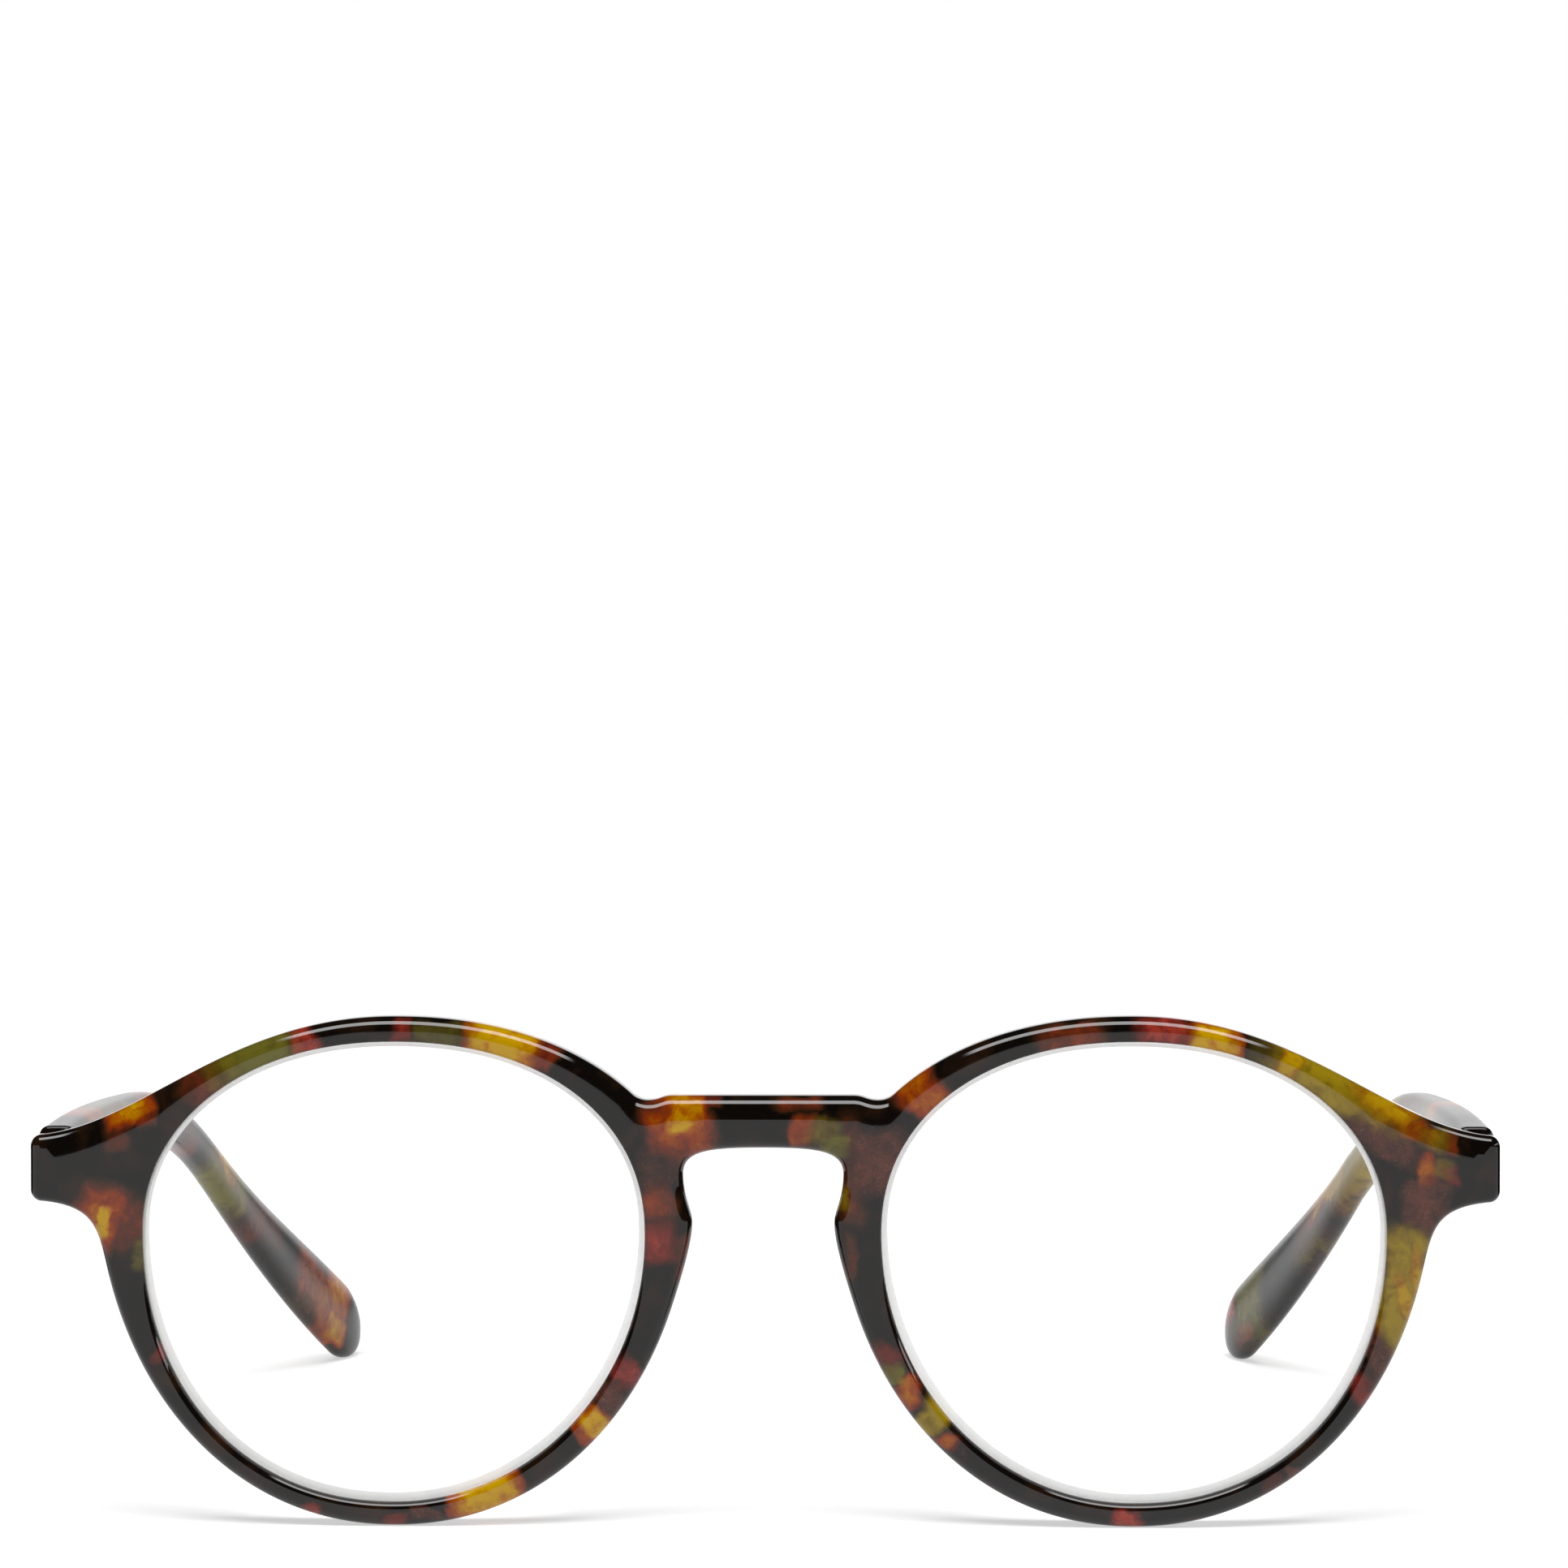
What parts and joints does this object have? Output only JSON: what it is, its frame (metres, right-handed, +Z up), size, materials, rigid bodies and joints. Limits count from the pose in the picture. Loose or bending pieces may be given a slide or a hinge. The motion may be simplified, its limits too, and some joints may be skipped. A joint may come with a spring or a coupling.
{
  "type": "reading glasses",
  "caption": "Round reading glasses in glossy tortoiseshell acetate with a keyhole bridge, clear lenses and two folding temples on screw hinges.",
  "frame": {"origin": "middle of the part's box, on the table that the rims and the temple tips rest on", "axes": "+X towards the right temple as seen by someone who looks at the front, -Y out of the front's face, +Z up"},
  "size_m": [0.14, 0.1256, 0.0487],
  "materials": {
    "tortoiseshell_front": "polished tortoiseshell acetate, black-brown with amber, orange and red patches",
    "tortoiseshell_temple": "polished tortoiseshell acetate, black-brown with amber, orange and olive patches",
    "tortoiseshell_pad": "polished tortoiseshell acetate",
    "lens_glass": "clear and polished",
    "hinge_steel": "satin",
    "screw_steel": "bright turned"
  },
  "bodies": {
    "front": {"front_frame": "tortoiseshell_front", "left_lens": "lens_glass", "right_lens": "lens_glass", "left_nose_pad": "tortoiseshell_pad", "right_nose_pad": "tortoiseshell_pad", "left_front_leaf": "hinge_steel", "right_front_leaf": "hinge_steel", "left_hinge_screw": "screw_steel", "right_hinge_screw": "screw_steel", "left_front_leaf_screw_lower": "screw_steel", "left_front_leaf_screw_upper": "screw_steel", "right_front_leaf_screw_lower": "screw_steel", "right_front_leaf_screw_upper": "screw_steel"},
    "left_arm": {"left_temple": "tortoiseshell_temple", "left_temple_leaf": "hinge_steel", "left_temple_leaf_screw_front": "screw_steel", "left_temple_leaf_screw_rear": "screw_steel"},
    "right_arm": {"right_temple": "tortoiseshell_temple", "right_temple_leaf": "hinge_steel", "right_temple_leaf_screw_front": "screw_steel", "right_temple_leaf_screw_rear": "screw_steel"}
  },
  "joints": [
    {"name": "right_temple_fold", "type": "hinge", "parent": "front", "child": "right_arm", "pos_m": [0.0646, -0.05672, 0.03421], "axis": [0, 0, 1], "range_deg": [0, 84]},
    {"name": "left_temple_fold", "type": "hinge", "parent": "front", "child": "left_arm", "pos_m": [-0.0646, -0.05672, 0.03421], "axis": [0, 0, -1], "range_deg": [0, 80]}
  ]
}
